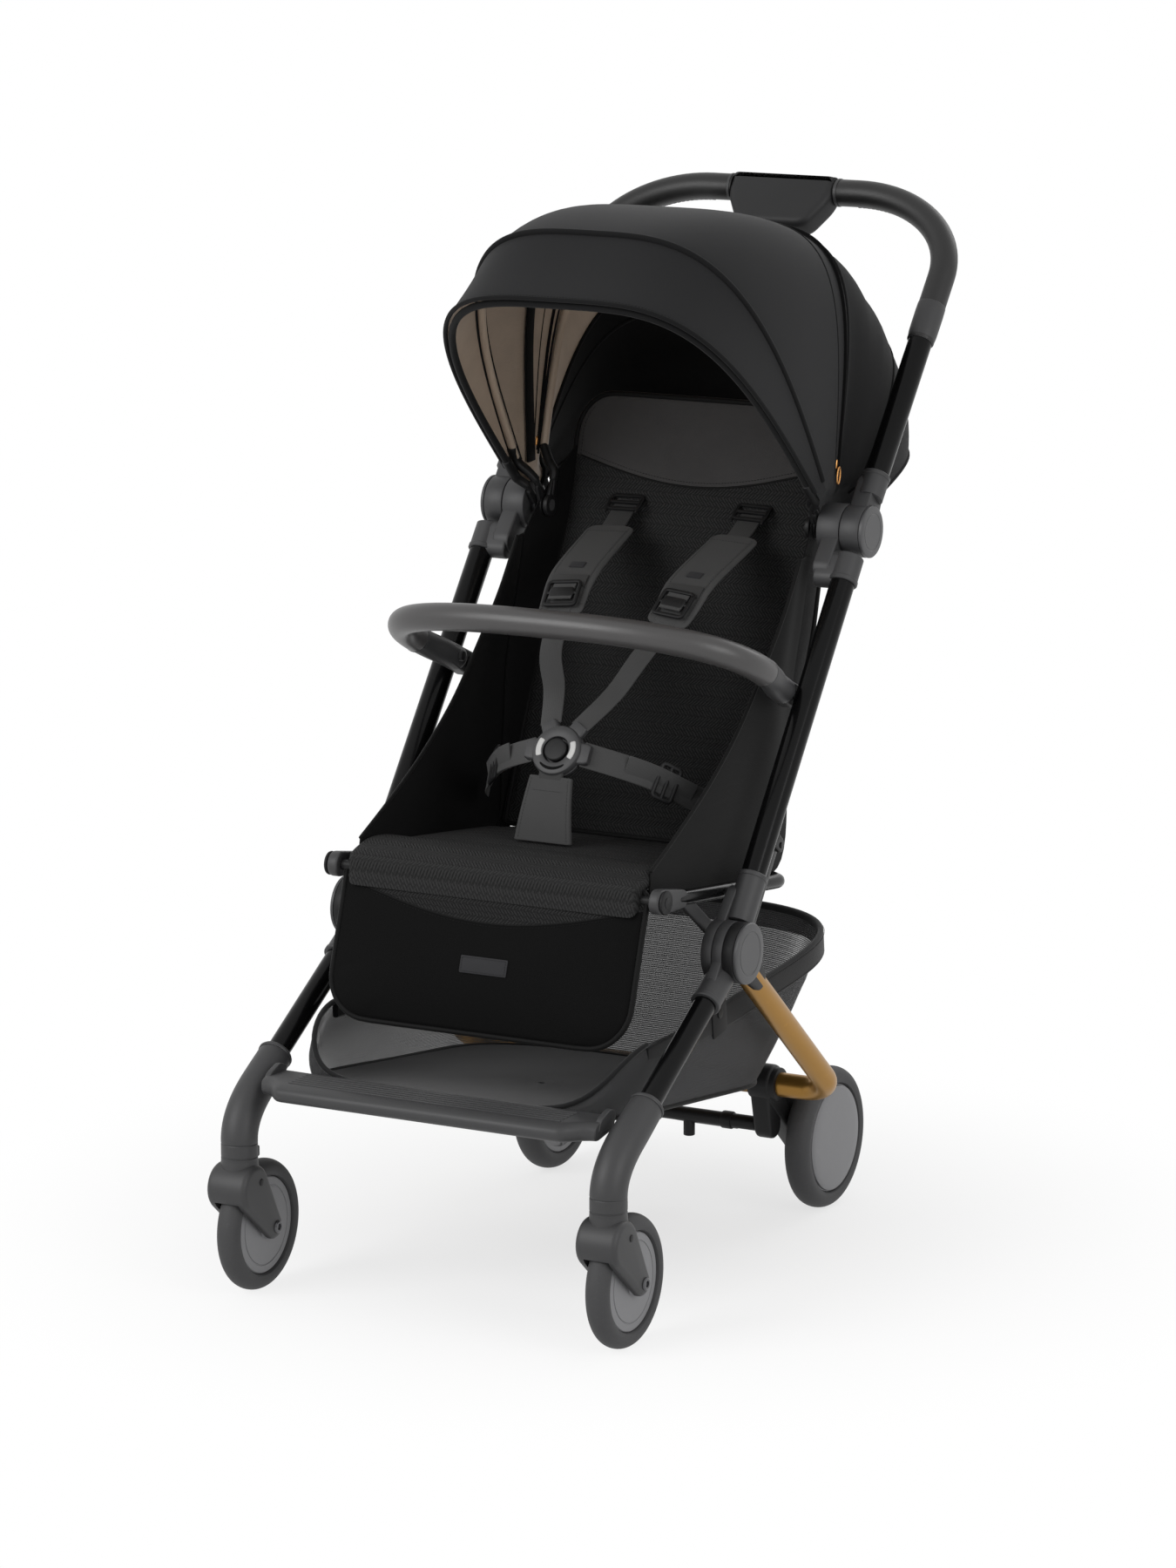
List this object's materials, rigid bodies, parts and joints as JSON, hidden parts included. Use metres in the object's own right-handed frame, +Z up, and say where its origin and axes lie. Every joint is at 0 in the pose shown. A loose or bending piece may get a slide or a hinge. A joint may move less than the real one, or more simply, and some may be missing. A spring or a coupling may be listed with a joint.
{
  "type": "stroller",
  "caption": "Compact folding stroller: reclining seat, calf rest, folding canopy with visor, bumper bar, mesh basket and swivel casters",
  "frame": {"origin": "centre of the bounding box's base, on the floor between the four wheels", "axes": "+Z up, -Y towards the front casters, +X towards the right as seen from the front"},
  "size_m": [0.459, 0.8309, 1.0452],
  "materials": {
    "black_tube": "glossy black powder coat",
    "bronze_tube": "metallic bronze paint",
    "black_plastic": "satin black moulded plastic",
    "grey_plastic": "satin dark grey moulded plastic",
    "wheel_disc": "satin mid grey moulded plastic",
    "tyre_foam": "dark grey foam rubber",
    "steel_pin": "dark zinc plated steel",
    "grip_leather": "stitched dark grey imitation leather",
    "seat_fabric": "black woven fabric",
    "canopy_fabric": "dark charcoal woven fabric",
    "basket_mesh": "dark mesh",
    "webbing": "dark grey webbing and padding"
  },
  "bodies": {
    "front_frame": {"front_leg_right": "black_tube", "front_leg_left": "black_tube", "front_shoe_right": "grey_plastic", "front_shoe_left": "grey_plastic", "lower_hinge_cap_right": "grey_plastic", "lower_hinge_cap_left": "grey_plastic", "footrest_board": "grey_plastic", "storage_basket": "basket_mesh"},
    "caster_right": {"caster_fork_right": "grey_plastic", "front_axle_right": "steel_pin"},
    "caster_left": {"caster_fork_left": "grey_plastic", "front_axle_left": "steel_pin"},
    "swivel_lock_body_right": {"swivel_lock_right": "black_plastic"},
    "swivel_lock_body_left": {"swivel_lock_left": "black_plastic"},
    "front_wheel_right": {"front_tyre_right": "tyre_foam", "front_hub_right": "wheel_disc"},
    "front_wheel_left": {"front_tyre_left": "tyre_foam", "front_hub_left": "wheel_disc"},
    "rear_frame": {"rear_frame_tube": "bronze_tube", "rear_housing_right": "black_plastic", "rear_housing_left": "black_plastic"},
    "rear_wheel_right": {"rear_tyre_right": "tyre_foam", "rear_hub_right": "wheel_disc"},
    "rear_wheel_left": {"rear_tyre_left": "tyre_foam", "rear_hub_left": "wheel_disc"},
    "brake": {"brake_bar": "black_plastic"},
    "push_frame": {"mid_tube_right": "black_tube", "mid_tube_left": "black_tube", "side_panel_right": "seat_fabric", "side_panel_left": "seat_fabric"},
    "fold_links": {"fold_link_right": "black_tube", "fold_link_left": "black_tube"},
    "handle_frame": {"upper_tube_right": "black_tube", "upper_tube_left": "black_tube", "upper_hinge_cap_right": "grey_plastic", "upper_hinge_cap_left": "grey_plastic", "handle_grip_right": "grip_leather", "handle_grip_left": "grip_leather", "button_housing": "grey_plastic", "canopy_rear_cover": "canopy_fabric"},
    "fold_button_body": {"fold_button": "black_plastic"},
    "canopy_mid": {"canopy_mid_bow": "black_plastic", "canopy_front_cover": "canopy_fabric"},
    "canopy_front": {"canopy_front_bow": "black_plastic", "canopy_visor_cover": "canopy_fabric"},
    "canopy_visor": {"canopy_visor_bow": "black_plastic"},
    "bumper": {"bumper_bar": "grip_leather"},
    "bumper_button_body_right": {"bumper_button_right": "black_plastic"},
    "bumper_button_body_left": {"bumper_button_left": "black_plastic"},
    "seat": {"seat_frame": "black_tube", "seat_pad": "seat_fabric", "waist_strap_right": "webbing", "waist_strap_left": "webbing"},
    "calf_rest_body": {"calf_rest": "seat_fabric"},
    "backrest_body": {"backrest": "seat_fabric", "shoulder_strap_right": "webbing", "shoulder_strap_left": "webbing"},
    "harness": {"harness_buckle": "black_plastic", "crotch_strap": "webbing"},
    "buckle_button_body": {"buckle_button": "grey_plastic"}
  },
  "joints": [
    {"name": "fold", "type": "hinge", "parent": "front_frame", "child": "push_frame", "pos_m": [0, -0.136, 0.343], "axis": [1, 0, 0], "range_deg": [0, 115], "deforming": ["side_panel_right", "side_panel_left"]},
    {"name": "rear_fold", "type": "hinge", "parent": "front_frame", "child": "rear_frame", "pos_m": [0, -0.136, 0.343], "axis": [-1, 0, 0], "range_deg": [0, 58]},
    {"name": "handle_fold", "type": "hinge", "parent": "push_frame", "child": "handle_frame", "pos_m": [0, 0.15395, 0.71614], "axis": [-1, 0, 0], "range_deg": [0, 144]},
    {"name": "bumper_fold", "type": "hinge", "parent": "push_frame", "child": "bumper", "pos_m": [0, 0.034, 0.5665], "axis": [-1, 0, 0], "range_deg": [0, 58]},
    {"name": "seat_fold", "type": "hinge", "parent": "push_frame", "child": "seat", "pos_m": [0, -0.1035, 0.38613], "axis": [-1, 0, 0], "range_deg": [0, 122], "deforming": ["waist_strap_right", "waist_strap_left"]},
    {"name": "link_fold", "type": "hinge", "parent": "push_frame", "child": "fold_links", "pos_m": [0, -0.0354, 0.42997], "axis": [1, 0, 0], "range_deg": [0, 9.4]},
    {"name": "harness_tip", "type": "hinge", "parent": "seat", "child": "harness", "pos_m": [0, -0.137, 0.432], "axis": [-1, 0, 0], "range_deg": [0, 58], "deforming": ["crotch_strap"]},
    {"name": "recline", "type": "hinge", "parent": "push_frame", "child": "backrest_body", "pos_m": [0, 0.063, 0.397], "axis": [1, 0, 0], "range_deg": [-40, 0], "deforming": ["shoulder_strap_right", "shoulder_strap_left"]},
    {"name": "calf_tilt", "type": "hinge", "parent": "seat", "child": "calf_rest_body", "pos_m": [0, -0.233, 0.409], "axis": [1, 0, 0], "range_deg": [-75, 0]},
    {"name": "canopy_fold", "type": "hinge", "parent": "handle_frame", "child": "canopy_mid", "pos_m": [0, 0.15395, 0.71614], "axis": [1, 0, 0], "range_deg": [-22, 0], "deforming": ["canopy_rear_cover"]},
    {"name": "canopy_front_fold", "type": "hinge", "parent": "canopy_mid", "child": "canopy_front", "pos_m": [0, 0.15395, 0.71614], "axis": [1, 0, 0], "range_deg": [-22, 0], "deforming": ["canopy_front_cover"]},
    {"name": "visor_fold", "type": "hinge", "parent": "canopy_front", "child": "canopy_visor", "pos_m": [0, 0.15395, 0.71614], "axis": [1, 0, 0], "range_deg": [-6, 0], "deforming": ["canopy_visor_cover"]},
    {"name": "caster_swivel_right", "type": "hinge", "parent": "front_frame", "child": "caster_right", "pos_m": [0.2045, -0.383, 0.157], "axis": [0, 0, 1], "continuous": true},
    {"name": "front_wheel_spin_right", "type": "hinge", "parent": "caster_right", "child": "front_wheel_right", "pos_m": [0.2045, -0.35, 0.0655], "axis": [1, 0, 0], "continuous": true},
    {"name": "swivel_lock_right", "type": "slide", "parent": "caster_right", "child": "swivel_lock_body_right", "axis": [0, 0, -1], "range_m": [0, 0.004]},
    {"name": "rear_wheel_spin_right", "type": "hinge", "parent": "rear_frame", "child": "rear_wheel_right", "pos_m": [0.1595, 0.178, 0.074], "axis": [1, 0, 0], "continuous": true},
    {"name": "bumper_button_press_right", "type": "slide", "parent": "bumper", "child": "bumper_button_body_right", "axis": [1, 0, 0], "range_m": [0, 0.0025], "stiffness_N_per_m": 300},
    {"name": "caster_swivel_left", "type": "hinge", "parent": "front_frame", "child": "caster_left", "pos_m": [-0.2045, -0.383, 0.157], "axis": [0, 0, 1], "continuous": true},
    {"name": "front_wheel_spin_left", "type": "hinge", "parent": "caster_left", "child": "front_wheel_left", "pos_m": [-0.2045, -0.35, 0.0655], "axis": [1, 0, 0], "continuous": true},
    {"name": "swivel_lock_left", "type": "slide", "parent": "caster_left", "child": "swivel_lock_body_left", "axis": [0, 0, -1], "range_m": [0, 0.004]},
    {"name": "rear_wheel_spin_left", "type": "hinge", "parent": "rear_frame", "child": "rear_wheel_left", "pos_m": [-0.1595, 0.178, 0.074], "axis": [1, 0, 0], "continuous": true},
    {"name": "bumper_button_press_left", "type": "slide", "parent": "bumper", "child": "bumper_button_body_left", "axis": [-1, 0, 0], "range_m": [0, 0.0025], "stiffness_N_per_m": 300},
    {"name": "brake_press", "type": "hinge", "parent": "rear_frame", "child": "brake", "pos_m": [0, 0.104, 0.1], "axis": [-1, 0, 0], "range_deg": [0, 18]},
    {"name": "fold_button_press", "type": "slide", "parent": "handle_frame", "child": "fold_button_body", "axis": [0, 0.6293, 0.7771], "range_m": [0, 0.003], "stiffness_N_per_m": 400},
    {"name": "buckle_button_press", "type": "slide", "parent": "harness", "child": "buckle_button_body", "axis": [0, 0.848, -0.5299], "range_m": [0, 0.002], "stiffness_N_per_m": 300}
  ],
  "couplings": [
    {"joint": "rear_fold", "follows": "fold", "ratio": 0.5},
    {"joint": "handle_fold", "follows": "fold", "ratio": 1.25},
    {"joint": "bumper_fold", "follows": "fold", "ratio": 0.5},
    {"joint": "seat_fold", "follows": "fold", "ratio": 1.06},
    {"joint": "link_fold", "follows": "fold", "ratio": 0.08},
    {"joint": "harness_tip", "follows": "fold", "ratio": 0.5},
    {"joint": "canopy_front_fold", "follows": "canopy_fold", "ratio": 1}
  ]
}
